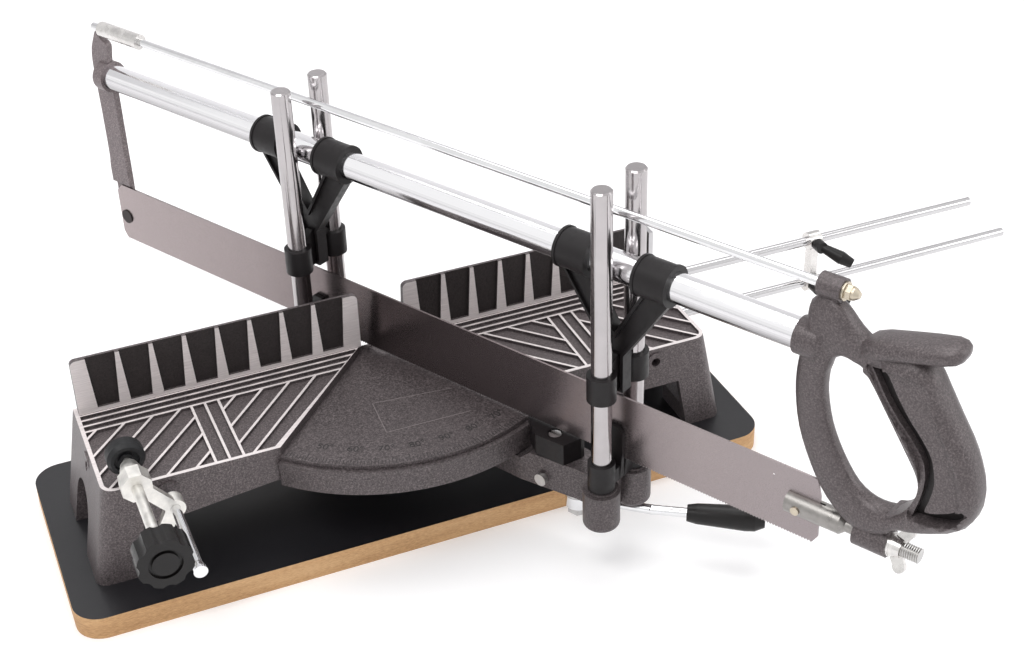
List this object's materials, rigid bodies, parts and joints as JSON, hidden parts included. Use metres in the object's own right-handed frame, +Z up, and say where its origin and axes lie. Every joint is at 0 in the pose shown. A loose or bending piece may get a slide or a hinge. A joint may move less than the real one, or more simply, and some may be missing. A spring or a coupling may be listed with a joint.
{
  "type": "manual mitre saw",
  "caption": "Hand mitre saw: ribbed table and fence on a board, swinging arm with four guide posts, sliding frame saw, work clamp and length stop",
  "frame": {"origin": "on the underside of the board, straight below the arm's pivot", "axes": "X along the fence to the right, Y to the back, Z up; the fence face is the plane y = 0"},
  "size_m": [0.671, 0.5728, 0.257],
  "materials": {
    "paint": "hammered dark grey paint with machined bright edges",
    "board": "black laminate on top, bare edge",
    "steel": "plain steel",
    "chrome": "bright plated steel",
    "zinc": "yellowish zinc plate",
    "black": "moulded black plastic",
    "pad": "black rubber",
    "blade": "satin blade steel"
  },
  "bodies": {
    "base": {"base_board": "board", "table_left": "paint", "table_right": "paint", "fence_left": "paint", "fence_right": "paint", "sector": "paint", "base_screws": "steel", "pivot_bolt": "steel", "pivot_nut": "zinc", "clamp_rod": "chrome", "stop_rail": "chrome"},
    "swing_arm": {"arm_casting": "paint", "front_left_post": "chrome", "front_right_post": "chrome", "back_left_post": "chrome", "back_right_post": "chrome", "front_guide": "black", "back_guide": "black", "index_block": "black", "index_screw": "steel", "arm_stop_screw": "steel", "lock_stud": "steel"},
    "lock_lever": {"lock_lever": "chrome", "lock_grip": "black"},
    "back_carrier": {"back_carrier": "black"},
    "front_carrier": {"front_carrier": "black"},
    "saw_frame": {"frame_tube": "chrome", "back_bracket": "paint", "handle": "paint", "tension_rod": "chrome", "rod_collar": "zinc", "rod_washer": "zinc", "rod_nut": "zinc", "blade": "blade", "blade_pin": "chrome", "clevis": "chrome", "clevis_pin": "zinc", "clevis_washer": "zinc"},
    "wing_nut": {"wing_nut": "zinc"},
    "clamp_bracket": {"clamp_bracket": "chrome"},
    "clamp_pad": {"clamp_pad": "pad"},
    "clamp_screw": {"clamp_spindle": "chrome", "clamp_knob": "black"},
    "stop_bracket": {"stop_bracket": "chrome"},
    "stop_rod": {"stop_rod": "chrome"},
    "upper_stop_lever": {"upper_stop_lever": "black"},
    "lower_stop_lever": {"lower_stop_lever": "black"}
  },
  "joints": [
    {"name": "arm_swing", "type": "hinge", "parent": "base", "child": "swing_arm", "pos_m": [0, 0, 0.055], "axis": [0, 0, 1], "range_deg": [-61.2, 16]},
    {"name": "lever_turn", "type": "hinge", "parent": "swing_arm", "child": "lock_lever", "pos_m": [0.07588, -0.13859, 0.0315], "axis": [0, 0, 1], "range_deg": [-20, 25]},
    {"name": "back_lift", "type": "slide", "parent": "swing_arm", "child": "back_carrier", "axis": [0, 0, 1], "range_m": [0, 0.095]},
    {"name": "front_lift", "type": "slide", "parent": "swing_arm", "child": "front_carrier", "axis": [0, 0, 1], "range_m": [0, 0.095]},
    {"name": "saw_slide", "type": "slide", "parent": "back_carrier", "child": "saw_frame", "axis": [0.4802, -0.8771, 0], "range_m": [-0.06, 0.12]},
    {"name": "wing_turn", "type": "hinge", "parent": "saw_frame", "child": "wing_nut", "pos_m": [0.17624, -0.32191, 0.0978], "axis": [0.4802, -0.8771, 0], "continuous": true},
    {"name": "clamp_slide", "type": "slide", "parent": "base", "child": "clamp_bracket", "axis": [0, 1, 0], "range_m": [-0.045, 0.007]},
    {"name": "pad_slide", "type": "slide", "parent": "clamp_bracket", "child": "clamp_pad", "axis": [0, 1, 0], "range_m": [-0.0041, 0.0451]},
    {"name": "clamp_turn", "type": "hinge", "parent": "clamp_pad", "child": "clamp_screw", "pos_m": [-0.1745, -0.161, 0.0937], "axis": [0, 1, 0], "range_deg": [-720, 8100]},
    {"name": "bracket_slide", "type": "slide", "parent": "base", "child": "stop_bracket", "axis": [1, 0, 0], "range_m": [-0.05, 0.14]},
    {"name": "stop_slide", "type": "slide", "parent": "stop_bracket", "child": "stop_rod", "axis": [1, 0, 0], "range_m": [-0.07, 0.11]},
    {"name": "upper_lever_turn", "type": "hinge", "parent": "stop_bracket", "child": "upper_stop_lever", "pos_m": [0.294, -0.0423, 0.102], "axis": [0, -1, 0], "range_deg": [-60, 30]},
    {"name": "lower_lever_turn", "type": "hinge", "parent": "stop_bracket", "child": "lower_stop_lever", "pos_m": [0.294, -0.0423, 0.07], "axis": [0, -1, 0], "range_deg": [-60, 30]}
  ],
  "couplings": [
    {"joint": "front_lift", "follows": "back_lift", "ratio": 1},
    {"joint": "pad_slide", "follows": "clamp_turn", "m_per_rad": 0.00031831}
  ]
}
